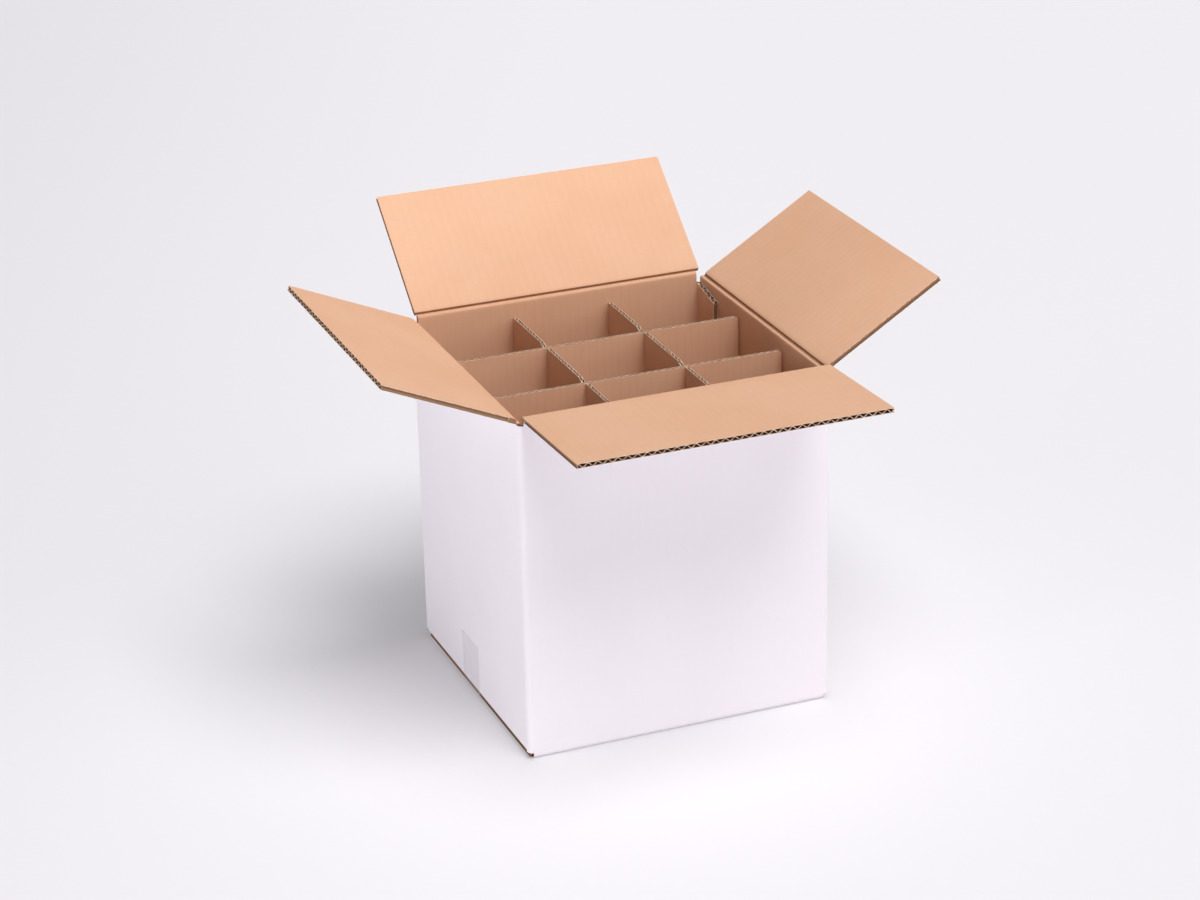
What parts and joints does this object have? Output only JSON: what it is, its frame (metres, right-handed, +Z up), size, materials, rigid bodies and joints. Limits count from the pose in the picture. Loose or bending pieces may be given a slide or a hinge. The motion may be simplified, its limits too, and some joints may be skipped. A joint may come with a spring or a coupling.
{
  "type": "bottle shipping box",
  "caption": "Slotted corrugated carton with interlocking dividers that part it into bottle cells, bottom flaps taped shut and top flaps hinged on their creases.",
  "frame": {"origin": "centre of the carton's base, on the surface that it stands on", "axes": "+Z up, out of the open top; +X along the carton's length to the right; -Y towards the front"},
  "size_m": [0.4656, 0.451, 0.367],
  "materials": {
    "lined_board": "matt white outer liner, brown kraft inside",
    "kraft_board": "matt brown kraft on both faces",
    "clear_tape": "clear film, soft gloss"
  },
  "bodies": {
    "carton": {"carton_body": "lined_board", "long_divider_front": "kraft_board", "long_divider_back": "kraft_board", "cross_divider_left": "kraft_board", "cross_divider_right": "kraft_board", "bottom_tape": "clear_tape"},
    "front_flap": {"top_flap_front": "lined_board"},
    "back_flap": {"top_flap_back": "lined_board"},
    "left_flap": {"top_flap_left": "lined_board"},
    "right_flap": {"top_flap_right": "lined_board"}
  },
  "joints": [
    {"name": "front_flap_crease", "type": "hinge", "parent": "carton", "child": "front_flap", "pos_m": [0, -0.124, 0.29], "axis": [1, 0, 0], "range_deg": [-177.5, 87.5]},
    {"name": "back_flap_crease", "type": "hinge", "parent": "carton", "child": "back_flap", "pos_m": [0, 0.124, 0.29], "axis": [-1, 0, 0], "range_deg": [-140, 125]},
    {"name": "left_flap_crease", "type": "hinge", "parent": "carton", "child": "left_flap", "pos_m": [-0.131, 0, 0.2856], "axis": [0, -1, 0], "range_deg": [-156.5, 108.5]},
    {"name": "right_flap_crease", "type": "hinge", "parent": "carton", "child": "right_flap", "pos_m": [0.131, 0, 0.2856], "axis": [0, 1, 0], "range_deg": [-148.5, 116.5]}
  ]
}
